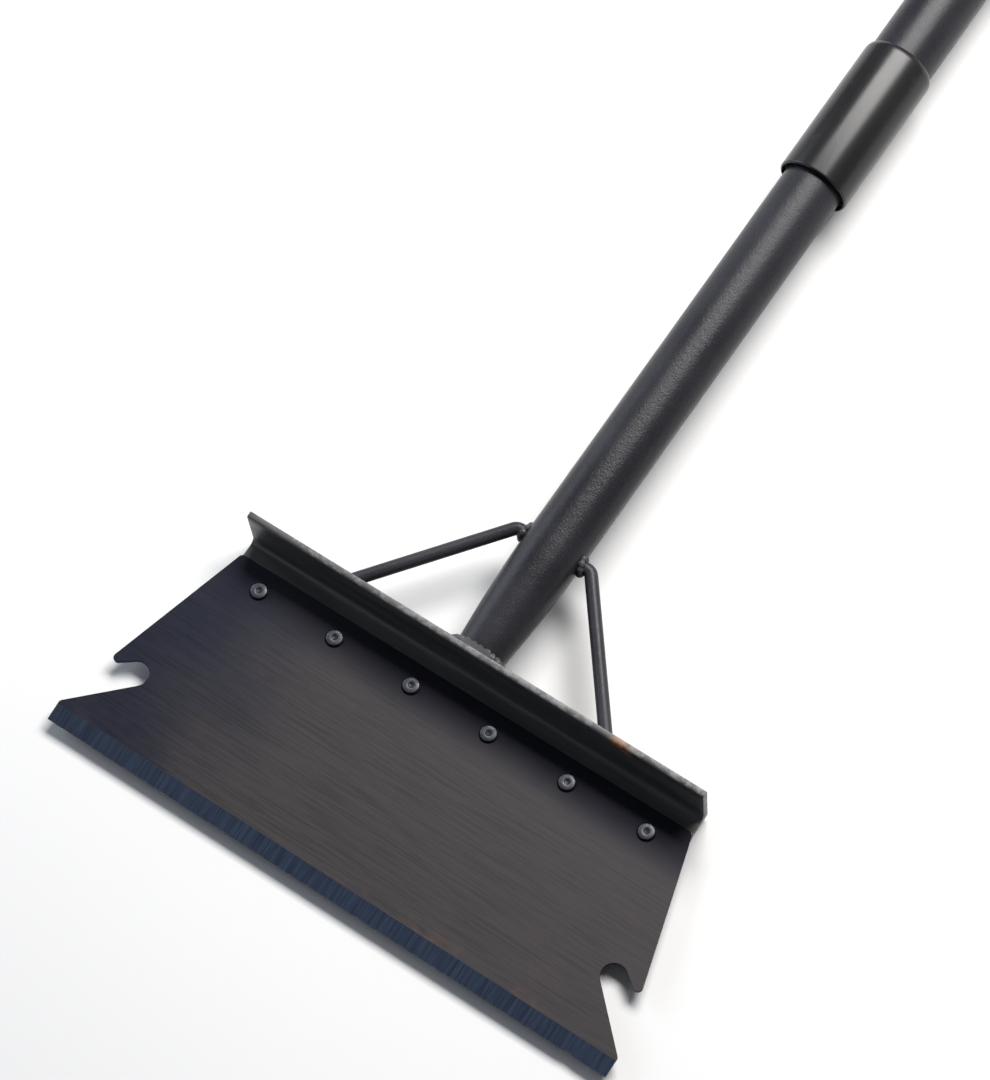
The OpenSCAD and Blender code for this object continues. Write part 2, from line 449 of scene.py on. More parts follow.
@dataclass(frozen=True)
class RolledPaint:
    """Thin black paint over hot-rolled steel, with scale showing and chips along the edges.

    Attributes:
        name: The material's name.
        color: Paint colour.
        chip: Colour where the paint is rubbed through, also used as a painted highlight on the up-facing
            toe.
        rust: Colour of the rust in the deepest chips.
        roughness: Mean roughness.
    """

    name: str
    color: Color
    chip: Color
    rust: Color
    roughness: float

    def make(self) -> Material:
        """Build the material.

        Returns:
            The material.
        """
        g = Graph(self.name)
        along = g.noise(1.0, 4.0, 0.6, g.stretched((14.0, 160.0, 160.0)))
        grit = g.noise(900.0, 3.0, 0.6)
        dark = tuple(c * 0.6 for c in self.color)
        tone = g.mix(g.span(along, 0.35, 0.65, 0.0, 1.0), dark, self.color)
        # Partly painted highlight: besides real chips at the ends, the chip colour on the up-facing toe
        # stands in for its lit top.
        chips_and_highlight = g.math("MULTIPLY", g.mask("wear"), g.span(g.noise(160.0, 6.0, 0.7), 0.46, 0.6, 0.0, 1.0))
        tone = g.mix(chips_and_highlight, tone, self.chip)
        rust = g.math("MULTIPLY", g.mask("rust"), g.span(g.noise(240.0, 5.0, 0.7), 0.4, 0.62, 0.0, 1.0))
        color = g.mix(rust, tone, self.rust)
        rough = g.span(along, 0.3, 0.7, self.roughness - 0.06, self.roughness + 0.08)
        normal = g.relief(along, 0.00012, 0.35)
        normal = g.relief(grit, 0.00004, 0.6, normal)
        return g.finish(color, rough, normal, Specular_IOR_Level=0.5)


@dataclass(frozen=True)
class PlainMetal:
    """Small turned or stamped metal parts, lightly soiled, with a painted shadow where a mask is set.

    Attributes:
        name: The material's name.
        color: Metal colour.
        soil: Colour of the dirt in the hollows.
        roughness: Mean roughness.
        soiling: Greatest share of dirt.
        metallic: How metallic the surface is.
    """

    name: str
    color: Color
    soil: Color
    roughness: float
    soiling: float = 0.5
    metallic: float = 0.9

    def make(self) -> Material:
        """Build the material.

        Returns:
            The material.
        """
        g = Graph(self.name)
        smear = g.noise(380.0, 5.0, 0.65, None, 0.5)
        grain = g.noise(2600.0, 2.0)
        color = g.mix(g.span(smear, 0.42, 0.7, 0.0, self.soiling), self.color, self.soil)
        # Painted shadow: near-black wherever the piece's mask is set, as in the ring under each rivet head.
        color = g.mix(g.mask("rim_shadow"), color, (0.004, 0.004, 0.005))
        rough = g.span(smear, 0.3, 0.7, self.roughness - 0.08, self.roughness + 0.12)
        normal = g.relief(smear, 0.00006, 0.5)
        normal = g.relief(grain, 0.00001, 0.4, normal)
        return g.finish(color, rough, normal, Metallic=self.metallic)


@dataclass(frozen=True)
class Moulded:
    """Moulded plastic or rubber with a faint texture.

    Attributes:
        name: The material's name.
        color: Body colour.
        roughness: Mean roughness.
        grain: Texture cells per metre.
        depth: Depth of the texture.
        sheen: Soft sheen of a rubber surface.
        specular: Strength of the plain reflection.
    """

    name: str
    color: Color
    roughness: float
    grain: float = 2200.0
    depth: float = 0.00002
    sheen: float = 0.0
    specular: float = 0.22

    def make(self) -> Material:
        """Build the material.

        Returns:
            The material.
        """
        g = Graph(self.name)
        flow = g.noise(22.0, 3.0, 0.5, g.stretched((1.0, 0.35, 1.0)))
        grain = g.noise(self.grain, 2.0)
        light = tuple(c * 1.35 + 0.002 for c in self.color)
        color = g.mix(g.span(flow, 0.3, 0.7, 0.0, 1.0), self.color, light)
        dust = g.span(g.noise(120.0, 6.0, 0.7), 0.6, 0.85, 0.0, 0.18)
        color = g.mix(dust, color, (0.16, 0.155, 0.15))
        rough = g.span(flow, 0.3, 0.7, self.roughness - 0.04, self.roughness + 0.06)
        normal = g.relief(grain, self.depth, 0.5)
        plain = {"Specular_IOR_Level": self.specular, "Sheen_Weight": self.sheen, "Sheen_Roughness": 0.5}
        return g.finish(color, rough, normal, **plain)


@dataclass(frozen=True)
class Finishes:
    """Every material of the tool, made once."""

    tube: Material
    brace: Material
    weld: Material
    bar: Material
    blade: Material
    bevel: Material
    burr: Material
    rivet: Material
    mandrel: Material
    collar: Material
    grip: Material
    cap: Material
    lock: Material
    zinc: Material

    @classmethod
    def make(cls, edge_y: float) -> "Finishes":
        """Build every finish.

        Args:
            edge_y: Where the cutting edge lies along Y.

        Returns:
            The set of materials.
        """
        return cls(
            tube=PowderCoat("graphite_powder_coat", (0.016, 0.016, 0.0195), 0.3).make(),
            brace=PowderCoat("brace_powder_coat", (0.026, 0.026, 0.031), 0.34).make(),
            weld=PowderCoat("coated_weld", (0.05, 0.048, 0.052), 0.34, 900.0, 0.00008).make(),
            bar=RolledPaint(
                "black_bar_paint", (0.046, 0.046, 0.047), (0.12, 0.12, 0.122), (0.24, 0.115, 0.05), 0.44,
            ).make(),
            blade=GroundSteel(
                "blade_steel", (0.036, 0.0325, 0.0345), (0.009, 0.0105, 0.021), 0.15,
                # The last pair places the angle bar's painted shadow on the blade, along Y.
                (34.0, 1050.0, 1050.0), 0.05, 0.54, 0.00002, 0.75, 0.3, (edge_y + 0.085, edge_y + 0.105),
            ).make(),
            # The bevel's blue base is partly the ground steel's own tint and partly a painted bluish
            # reflection.
            bevel=GroundSteel(
                "bevel_steel", (0.022, 0.034, 0.060), (0.022, 0.033, 0.056), 0.15,
                (1150.0, 40.0, 40.0), 0.16, 0.5, 0.00005, 0.3, 0.42, None, 0.2,
            ).make(),
            # Pale finish for the sheared top edge of the blade: partly the bare metal's own colour, partly
            # a painted highlight that shows inside the bar's shadow.
            burr=PlainMetal("sheared_burr", (0.9, 0.8, 0.68), (0.02, 0.018, 0.016), 0.6, 0.95, 0.0).make(),
            rivet=PlainMetal("rivet_steel", (0.092, 0.096, 0.11), (0.016, 0.017, 0.021), 0.42).make(),
            mandrel=PlainMetal("mandrel_steel", (0.05, 0.05, 0.06), (0.008, 0.008, 0.01), 0.5).make(),
            collar=Moulded("black_collar_plastic", (0.0075, 0.0073, 0.008), 0.26, specular=0.27).make(),
            grip=Moulded("black_grip_rubber", (0.011, 0.011, 0.0115), 0.62, 1500.0, 0.00005, 0.15).make(),
            cap=Moulded("black_cap_plastic", (0.014, 0.014, 0.015), 0.42).make(),
            lock=Moulded("natural_lock_plastic", (0.52, 0.49, 0.42), 0.4).make(),
            zinc=PlainMetal("zinc_plate", (0.6, 0.6, 0.62), (0.3, 0.29, 0.25), 0.28, 0.3, 1.0).make(),
        )


# ---------------------------------------------------------------------------------------------
# Mesh helpers


def arc(centre: Point, radius: float, start: float, end: float, steps: int = 10) -> list[Point]:
    """Return points on an arc.

    Args:
        centre: Centre of the arc.
        radius: Radius of the arc.
        start: First angle in degrees.
        end: Last angle in degrees.
        steps: Number of chords.

    Returns:
        The points in order.
    """
    angles = (math.radians(start + (end - start) * i / steps) for i in range(steps + 1))
    return [(centre[0] + radius * math.cos(a), centre[1] + radius * math.sin(a)) for a in angles]


def in_mm(points: Sequence[Point]) -> list[Point]:
    """Return points given in millimetres as metres."""
    return [(a * MM, b * MM) for a, b in points]


def radius_of(node: str) -> float:
    """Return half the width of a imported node's box along X."""
    low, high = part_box(node)
    return (high.x - low.x) / 2


def circle(
    bm: BMesh, centre: Vector, across: Vector, rise: Vector, radius: float, sides: int
) -> list[BMVert]:
    """Add a ring of vertices to a mesh.

    Args:
        bm: The mesh.
        centre: The ring's middle.
        across: Direction in which the ring starts.
        rise: Direction a quarter turn on.
        radius: Radius of the ring.
        sides: Number of vertices.

    Returns:
        The vertices in order.
    """
    turns = (math.tau * i / sides for i in range(sides))
    return [bm.verts.new(centre + radius * (math.cos(t) * across + math.sin(t) * rise)) for t in turns]


def turned(datum: Datum, profile: Sequence[Point], sides: int, closed: bool) -> BMesh:
    """Revolve a profile about the handle's axis.

    Args:
        datum: Where the handle lies.
        profile: Points as (radius, distance from the cutting edge).
        sides: Number of sides of the circle.
        closed: Whether the profile is a closed section; otherwise its ends are on the axis.

    Returns:
        The revolved mesh.
    """
    bm = bmesh.new()
    rings: list[list[BMVert]] = []
    for radius, along in profile:
        centre = datum.on_axis(along)
        if radius <= 0.0:
            rings.append([bm.verts.new(centre)])
            continue
        rings.append(circle(bm, centre, Vector((1.0, 0.0, 0.0)), Vector((0.0, 0.0, 1.0)), radius, sides))
    pairs = list(zip(rings, rings[1:]))
    if closed:
        pairs.append((rings[-1], rings[0]))
    for low, high in pairs:
        join_rings(bm, low, high)
    bmesh.ops.recalc_face_normals(bm, faces=bm.faces)
    return bm


def join_rings(bm: BMesh, low: list[BMVert], high: list[BMVert]) -> None:
    """Join two rings of vertices with faces; a ring of one vertex is a pole.

    Args:
        bm: The mesh.
        low: One ring.
        high: The other ring.
    """
    sides = max(len(low), len(high))
    for i in range(sides):
        j = (i + 1) % sides
        corners = [low[i % len(low)], low[j % len(low)], high[j % len(high)], high[i % len(high)]]
        unique = list(dict.fromkeys(corners))
        if len(unique) > 2:
            bm.faces.new(unique)


def swept(path: Sequence[Vector], radius: float, sides: int) -> BMesh:
    """Sweep a round rod along a path.

    Args:
        path: Points along the rod's middle.
        radius: Radius of the rod.
        sides: Number of sides.

    Returns:
        The rod's mesh, closed at both ends.
    """
    bm = bmesh.new()
    rings = []
    up = Vector((0.0, 0.0, 1.0))
    for i, point in enumerate(path):
        ahead = path[min(i + 1, len(path) - 1)] - path[max(i - 1, 0)]
        ahead.normalize()
        across = ahead.cross(up).normalized()
        rise = across.cross(ahead).normalized()
        rings.append(circle(bm, point, across, rise, radius, sides))
    for low, high in zip(rings, rings[1:]):
        join_rings(bm, low, high)
    for ring in (rings[0], rings[-1]):
        bm.faces.new(ring)
    bmesh.ops.recalc_face_normals(bm, faces=bm.faces)
    return bm


def shade(mesh: bpy.types.Mesh, sharp: float = 40.0) -> None:
    """Shade a mesh smooth, and keep edges above an angle sharp.

    Args:
        mesh: The mesh.
        sharp: The angle in degrees.
    """
    bm = bmesh.new()
    bm.from_mesh(mesh)
    for face in bm.faces:
        face.smooth = True
    for edge in bm.edges:
        edge.smooth = not (edge.is_manifold and edge.calc_face_angle(0.0) > math.radians(sharp))
    bm.to_mesh(mesh)
    bm.free()


def paint_mask(mesh: bpy.types.Mesh, name: str, rule: Callable[[Vector], float]) -> None:
    """Give a mesh a point attribute that a finish reads as a mask.

    Args:
        mesh: The mesh.
        name: The attribute's name.
        rule: The mask's value at a point.
    """
    layer = mesh.attributes.new(name, "FLOAT", "POINT")
    for vertex in mesh.vertices:
        layer.data[vertex.index].value = rule(vertex.co)


def as_object(name: str, bm: BMesh) -> Object:
    """Turn a mesh under construction into an object in the scene.

    Args:
        name: The object's name.
        bm: The mesh, which is freed.

    Returns:
        The object.
    """
    mesh = bpy.data.meshes.new(name)
    bm.to_mesh(mesh)
    bm.free()
    made = bpy.data.objects.new(name, mesh)
    bpy.context.scene.collection.objects.link(made)
    return made


def dress(
    made: Object, body: Body, slot: str, nodes: Sequence[str], *materials: Material
) -> Object:
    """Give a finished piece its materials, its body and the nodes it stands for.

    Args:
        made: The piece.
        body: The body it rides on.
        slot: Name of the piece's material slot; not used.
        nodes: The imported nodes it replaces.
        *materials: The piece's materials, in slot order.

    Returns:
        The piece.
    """
    indices = [min(polygon.material_index, len(materials) - 1) for polygon in made.data.polygons]
    made.data.materials.clear()
    for material in materials:
        made.data.materials.append(material)
    made.data.polygons.foreach_set("material_index", indices)
    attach(made, body.value)
    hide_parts(*nodes)
    LOG.info("%s: %d faces on %s, for %s", made.name, len(made.data.polygons), body.value, ", ".join(nodes))
    return made


# ---------------------------------------------------------------------------------------------
# The head: blade, angle bar, rivets


@dataclass
class Blade:
    """The flat blade, with its ground bevel and the two hook notches.

    Attributes:
        datum: Where the tool lies.
        corner: Height of the square lower corner.
        slot_len: Length of the notch's lower side.
        low: Slope of the notch's lower side, in degrees.
        high: Slope of the notch's upper side, in degrees.
        notch: Radius of the notch's inner end.
        hook: Radius of the hook's tip.
        side: Lean of the blade's side from upright, in degrees.
        top_width: Width along the top edge.
        bevel: Depth of the ground bevel.
        edge: Thickness left at the cutting edge.
        chip_at: X of the one larger nick in the edge.
        chip_half: Half the width of that nick.
        chip_depth: Depth of that nick.
        top_corner: Radius of the top corners.
        wear: Greatest depth of the small nicks.
    """

    FRONT_STEPS = 305

    datum: Datum
    corner: float = 10.5 * MM
    slot_len: float = 35.6 * MM
    low: float = 43.5
    high: float = 37.0
    notch: float = 6.2 * MM
    hook: float = 2.2 * MM
    side: float = 15.9
    top_width: float = 248.0 * MM
    bevel: float = 8.4 * MM
    edge: float = 0.4 * MM
    chip_at: float = 133.0 * MM
    chip_half: float = 3.0 * MM
    chip_depth: float = 0.7 * MM
    top_corner: float = 2.0 * MM
    wear: float = 0.22 * MM

    def __post_init__(self) -> None:
        """Read the blade's box from the frame."""
        self.lowest, self.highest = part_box("blade")

    @staticmethod
    def meet(first: float, first_k: float, second: float, second_k: float) -> Point:
        """Return where two lines cross, each given by its normal's angle and its distance.

        Args:
            first: Angle of the first line's normal, in degrees.
            first_k: Distance of the first line from the origin.
            second: Angle of the second line's normal, in degrees.
            second_k: Distance of the second line from the origin.

        Returns:
            The crossing.
        """
        a, b = math.radians(first), math.radians(second)
        span = math.sin(b - a)
        x = (first_k * math.sin(b) - second_k * math.sin(a)) / span
        return x, (second_k * math.cos(a) - first_k * math.cos(b)) / span

    @staticmethod
    def reach(point: Point, angle: float) -> float:
        """Return a point's distance from the origin along a normal."""
        return point[0] * math.cos(math.radians(angle)) + point[1] * math.sin(math.radians(angle))

    def half_outline(self) -> list[Point]:
        """Return the right half of the outline, from the cutting edge round to the top edge.

        Returns:
            Points as (x, distance from the cutting edge).
        """
        half = self.highest.x
        height = self.highest.y - self.lowest.y
        low = math.radians(self.low)
        foot = (half - self.slot_len * math.cos(low), self.corner + self.slot_len * math.sin(low))
        centre = (foot[0] + self.notch * math.sin(low), foot[1] + self.notch * math.cos(low))
        up = 90.0 - self.high
        side_k = self.reach((self.top_width / 2, height), self.side)
        tip = self.meet(up, self.reach(centre, up) + self.notch + self.hook, self.side, side_k - self.hook)
        top_r = self.top_corner
        top = self.meet(self.side, side_k - top_r, 90.0, height - top_r)
        return [
            (half, 0.0),
            (half, self.corner - 0.8 * MM),
            (half - 0.5 * MM, self.corner),
            *arc(centre, self.notch, 270.0 - self.low, up, 18),
            *arc(tip, self.hook, up + 180.0, self.side + 360.0, 10),
            *arc(top, top_r, self.side, 90.0, 5),
        ]

    def build(self, finishes: Finishes) -> Object:
        """Make the blade and dress it.

        Args:
            finishes: The tool's materials.

        Returns:
            The blade.
        """
        line = self.datum.edge_y + self.bevel
        rng = random.Random(7)
        bm = bmesh.new()
        front_low, front_top, ground_top = [], [], []
        for i in range(self.FRONT_STEPS + 1):
            x = self.lowest.x + (self.highest.x - self.lowest.x) * i / self.FRONT_STEPS
            nick = rng.random() ** 8 * self.wear if 0 < i < self.FRONT_STEPS else 0.0
            nick += self.chip_depth * max(0.0, 1.0 - abs(x - self.chip_at) / self.chip_half)
            front_low.append(bm.verts.new((x, self.lowest.y + nick, self.lowest.z)))
            front_top.append(bm.verts.new((x, self.lowest.y + nick, self.lowest.z + self.edge)))
            ground_top.append(bm.verts.new((x, line, self.highest.z)))
        right = self.half_outline()[1:]
        rest = right + [(-x, y) for x, y in reversed(right)]
        low = [bm.verts.new((x, y + self.datum.edge_y, self.lowest.z)) for x, y in rest]
        top = [bm.verts.new((x, y + self.datum.edge_y, self.highest.z)) for x, y in rest]
        ground = [
            bm.faces.new((front_top[i], front_top[i + 1], ground_top[i + 1], ground_top[i]))
            for i in range(self.FRONT_STEPS)
        ]
        for i in range(self.FRONT_STEPS):
            bm.faces.new((front_low[i], front_low[i + 1], front_top[i + 1], front_top[i]))
        face = bm.faces.new(ground_top + top)
        bm.faces.new(front_low + low)
        for i in range(len(rest) - 1):
            bm.faces.new((low[i], low[i + 1], top[i + 1], top[i]))
        for end, corner in ((-1, 0), (0, -1)):
            bm.faces.new((front_low[end], low[corner], top[corner], ground_top[end], front_top[end]))
        for item in ground:
            item.material_index = 1
        bmesh.ops.recalc_face_normals(bm, faces=bm.faces)
        rim = [e for e in face.edges if not set(e.verts) & set(ground_top)]
        brow_y = self.highest.y - 0.01 * MM
        brow_z = self.lowest.z + 1.0 * MM
        brow = [e for e in rim if all(v.co.y > brow_y and v.co.z > brow_z for v in e.verts)]
        bmesh.ops.bevel(bm, geom=brow, offset=1.0 * MM, segments=3, profile=0.5, affect="EDGES")
        sides = [e for e in bm.edges if e.is_valid and e.calc_face_angle(0.0) > math.radians(60.0)]
        sides = [e for e in sides if min(v.co.y for v in e.verts) > line + 1.0 * MM]
        sides = [e for e in sides if abs(e.verts[0].co.z - e.verts[1].co.z) < 0.01 * MM]
        bmesh.ops.bevel(bm, geom=sides, offset=0.12 * MM, segments=2, profile=0.5, affect="EDGES")
        bmesh.ops.triangulate(bm, faces=[f for f in bm.faces if len(f.verts) > 4])
        made = as_object("blade", bm)
        shade(made.data, 30.0)
        for polygon in made.data.polygons:
            broad = abs(polygon.normal.z) > 0.999 or polygon.material_index == 1
            polygon.use_smooth = polygon.use_smooth and not broad
            # The chamfer along the top edge takes the pale burr finish: bare sheared steel, lightened
            # further as a painted highlight.
            if polygon.center.y > self.highest.y - 1.0 * MM and 0.1 < polygon.normal.z < 0.99:
                polygon.material_index = 2
        steels = (finishes.blade, finishes.bevel, finishes.burr)
        return dress(made, Body.HEAD, "blade_steel", ["blade"], *steels)


@dataclass
class AngleBar:
    """The rolled steel angle that carries the blade and the tube.

    Attributes:
        thickness: Thickness of both legs.
        toe: Rounding of the toes.
        root: Radius of the inside corner.
        rust_at: X of the spot where the front edge has rusted.
    """

    STATIONS = 63

    thickness: float = 3.2 * MM
    toe: float = 1.2 * MM
    root: float = 4.0 * MM
    rust_at: float = 80.0 * MM

    def __post_init__(self) -> None:
        """Read the bar's box from the frame."""
        self.lowest, self.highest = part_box("angle_bar")

    def section(self) -> list[Point]:
        """Return the L section.

        Returns:
            Points as (y, z), in order round the section.
        """
        low, high, t = self.lowest, self.highest, self.thickness
        heel = 0.5 * MM
        return [
            (low.y, low.z),
            *arc((high.y - heel, low.z + heel), heel, -90.0, 0.0, 4),
            (high.y, high.z - 1.0 * MM),
            *arc((high.y - 0.3 * MM, high.z - 0.3 * MM), 0.3 * MM, 0.0, 90.0, 3),
            *arc((high.y - t + self.toe, high.z - self.toe), self.toe, 90.0, 180.0, 6),
            (high.y - t, high.z - 3.5 * MM),
            (high.y - t, high.z - 9.0 * MM),
            *arc((high.y - t - self.root, low.z + t + self.root), self.root, 0.0, -90.0, 10),
            *arc((low.y + self.toe, low.z + t - self.toe), self.toe, 90.0, 180.0, 6),
        ]

    def build(self, finishes: Finishes) -> Object:
        """Make the bar and dress it.

        Args:
            finishes: The tool's materials.

        Returns:
            The angle bar.
        """
        bm = bmesh.new()
        rings = []
        for i in range(self.STATIONS + 1):
            x = self.lowest.x + (self.highest.x - self.lowest.x) * i / self.STATIONS
            rings.append([bm.verts.new((x, y, z)) for y, z in self.section()])
        for first, second in zip(rings, rings[1:]):
            join_rings(bm, first, second)
        ends = [bm.faces.new(rings[0]), bm.faces.new(rings[-1])]
        bmesh.ops.recalc_face_normals(bm, faces=bm.faces)
        rim = [e for face in ends for e in face.edges]
        bmesh.ops.bevel(bm, geom=rim, offset=0.25 * MM, segments=2, profile=0.5, affect="EDGES")
        bmesh.ops.triangulate(bm, faces=[f for f in bm.faces if len(f.verts) > 4])
        made = as_object("angle_bar", bm)
        shade(made.data, 35.0)
        paint_mask(made.data, "wear", self.toe_wear_and_highlight)
        paint_mask(made.data, "rust", self.rusted)
        return dress(made, Body.HEAD, "bar_paint", ["angle_bar"], finishes.bar)

    def toe_wear_and_highlight(self, p: Vector) -> float:
        """Return how rubbed the paint is at a point; on the up-facing toe this also paints a highlight.

        Args:
            p: The point.

        Returns:
            The share, 1 on the front toe and the ends and 0 elsewhere.
        """
        toe = 1.0 if p.z > self.highest.z - 0.4 * MM else 0.0
        end = 1.0 if abs(p.x) > self.highest.x - 0.2 * MM else 0.0
        return max(toe, end)

    def rusted(self, p: Vector) -> float:
        """Return how rusty the bar is at a point.

        Args:
            p: The point.

        Returns:
            The share, from 0 to 1.
        """
        near = max(0.0, 1.2 - abs(p.x - self.rust_at) / (7.0 * MM))
        front = p.y < self.highest.y - self.thickness / 2 or p.z > self.highest.z - 0.5 * MM
        return min(1.0, near) if front and p.z > self.highest.z - 4.0 * MM else 0.0


class NodeShape(TreeBuilder):
    """A geometry node tree under construction."""

    def __init__(self, name: str) -> None:
        """Start a tree that has a geometry input and output.

        Args:
            name: The tree's name.
        """
        self.tree = bpy.data.node_groups.new(name, "GeometryNodeTree")
        self.tree.interface.new_socket(name="Geometry", in_out="INPUT", socket_type="NodeSocketGeometry")
        self.tree.interface.new_socket(name="Geometry", in_out="OUTPUT", socket_type="NodeSocketGeometry")
        self.source = self.tree.nodes.new("NodeGroupInput")
        self.values: dict[str, object] = {}

    def size(self, name: str, kind: str, value: object) -> Socket:
        """Add a named size and return the socket that carries it.

        Args:
            name: The size's name.
            kind: Short socket kind: Float, Int or Material.
            value: The size's value.

        Returns:
            The group input node's output socket.
        """
        self.tree.interface.new_socket(name=name, in_out="INPUT", socket_type=f"NodeSocket{kind}")
        self.values[name] = value
        return self.source.outputs[name]

    def node(
        self, kind: str, settings: dict[str, object] | None = None, **inputs: object
    ) -> bpy.types.Node:
        """Add a node, with its inputs linked or set by name.

        Args:
            kind: The node's type.
            settings: Properties of the node itself.
            **inputs: Input values or sockets, with spaces in their names as underscores.

        Returns:
            The node.
        """
        made = self.tree.nodes.new(kind)
        for name, value in (settings or {}).items():
            setattr(made, name, value)
        for name, value in inputs.items():
            self.put(self.pick(made, name), value)
        return made

    @staticmethod
    def pick(node: bpy.types.Node, name: str) -> Socket:
        """Return a node's input by its name, with spaces as underscores."""
        return next(s for s in node.inputs if s.name == name.replace("_", " ") and s.enabled)

    def grow(self, name: str, seed: BMesh, result: Socket) -> Object:
        """Close the tree with Realize Instances and Set Material, and evaluate it to a plain mesh.

        Args:
            name: The new object's name.
            seed: The mesh the tree starts from, which is freed.
            result: The geometry socket that holds the shape.

        Returns:
            The object, with no modifier left on it.
        """
        material = self.size("Finish", "Material", bpy.data.materials[0])
        real = self.node("GeometryNodeRealizeInstances", None, Geometry=result)
        dressed = self.node("GeometryNodeSetMaterial", None, Geometry=real.outputs[0], Material=material)
        sink = self.tree.nodes.new("NodeGroupOutput")
        self.tree.links.new(dressed.outputs[0], sink.inputs[0])
        made = as_object(name, seed)
        modifier = made.modifiers.new(self.tree.name, "NODES")
        modifier.node_group = self.tree
        for item in self.tree.interface.items_tree:
            if item.in_out == "INPUT" and item.name in self.values:
                modifier[item.identifier] = self.values[item.name]
        graph = bpy.context.evaluated_depsgraph_get()
        plain = bpy.data.meshes.new_from_object(made.evaluated_get(graph))
        made.modifiers.clear()
        made.data = plain
        return made


@dataclass
class RivetRow:
    """Blind rivets in a row, each with the end of its mandrel down in the head.

    Attributes:
        datum: Where the tool lies.
        count: Number of rivets.
    """

    datum: Datum
    count: int = 6

    def __post_init__(self) -> None:
        """Read the row's place and pitch from the frame."""
        first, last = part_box("rivet_1"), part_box(f"rivet_{self.count}")
        self.start = (first[0] + first[1]) / 2
        self.pitch = ((last[0] + last[1]) / 2 - self.start).x / (self.count - 1)
        self.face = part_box("blade")[1].z
        self.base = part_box("rivet_mandrel_1")[0].z

    def spin(self, points: Sequence[Point], sides: int) -> BMesh:
        """Revolve a section about an upright axis at the origin.

        Args:
            points: Section points as (radius, height) in millimetres, closed unless it starts on the axis.
            sides: Number of sides.

        Returns:
            The mesh.
        """
        flat = Datum(0.0, 0.0)
        bm = turned(flat, in_mm(points), sides, points[0][0] > 0.0)
        upright = Matrix.Rotation(math.radians(90.0), 3, "X")
        bmesh.ops.rotate(bm, verts=bm.verts, cent=(0, 0, 0), matrix=upright)
        return bm

    def row(self, name: str, one: BMesh) -> Object:
        """Repeat one shape along the row with geometry nodes.

        Args:
            name: The object's name.
            one: The shape, at the origin.

        Returns:
            The row.
        """
        shape = NodeShape(f"{name}_row")
        count = shape.size("Count", "Int", self.count)
        pitch = shape.size("Pitch", "Float", self.pitch)
        offset = shape.node("ShaderNodeCombineXYZ", None, X=pitch)
        line = shape.node(
            "GeometryNodeMeshLine", {"mode": "OFFSET"}, Count=count,
            Start_Location=tuple(self.start.xy) + (0.0,), Offset=offset.outputs[0],
        )
        turn = shape.node("FunctionNodeRandomValue", {"data_type": "FLOAT"}, Max=math.tau, Seed=3)
        spin = shape.node("ShaderNodeCombineXYZ", None, Z=turn.outputs[1])
        placed = shape.node(
            "GeometryNodeInstanceOnPoints", None, Points=line.outputs[0],
            Instance=shape.source.outputs[0], Rotation=spin.outputs[0],
        )
        return shape.grow(name, one, placed.outputs[0])

    def build(self, finishes: Finishes) -> list[Object]:
        """Make the rivets and their mandrels, and dress them.

        Args:
            finishes: The tool's materials.

        Returns:
            The row of rivets and the row of mandrels.
        """
        face, base = self.face / MM, self.base / MM
        head = [
            (2.4, face), (4.45, face), (4.6, face + 0.08), (4.55, face + 0.2), (3.98, face + 0.26),
            (3.9, face + 0.34), *arc((3.58, face + 0.98), 0.3, 0.0, 70.0, 5), (3.1, face + 1.4),
            (2.5, face + 1.48), (1.8, face + 1.5), (1.46, face + 1.44), (1.38, face + 1.25),
            (1.36, base + 0.9), (2.5, base + 0.82), (2.9, base + 0.9), (3.3, base + 1.3),
            (3.45, base + 1.8), (3.3, base + 2.4), (3.0, base + 2.6), (2.4, base + 2.6),
        ]
        rivets = self.row("rivets", self.spin(head, 40))
        shade(rivets.data, 50.0)
        names = [f"rivet_{i + 1}" for i in range(self.count)]
        # Painted shadow: the thin flange at the foot of each head is made near-black, for the shade under
        # the head's edge.
        seat = self.face + 0.4 * MM
        paint_mask(rivets.data, "rim_shadow", lambda p: 1.0 if self.face < p.z < seat else 0.0)
        dress(rivets, Body.HEAD, "rivet_steel", names, finishes.rivet)
        pin = [
            (0.0, base), (1.6, base), (2.05, base + 0.25), (2.2, base + 0.8), (1.33, base + 0.82),
            (1.33, face + 1.15), (1.1, face + 1.32), (0.7, face + 1.26), (0.35, face + 1.12),
            (0.0, face + 1.08),
        ]
        mandrels = self.row("rivet_mandrels", self.spin(pin, 28))
        shade(mandrels.data, 40.0)
        names = [f"rivet_mandrel_{i + 1}" for i in range(self.count)]
        dress(mandrels, Body.HEAD, "mandrel_steel", names, finishes.mandrel)
        return [rivets, mandrels]


# ---------------------------------------------------------------------------------------------
# The tubes, the braces and their welds


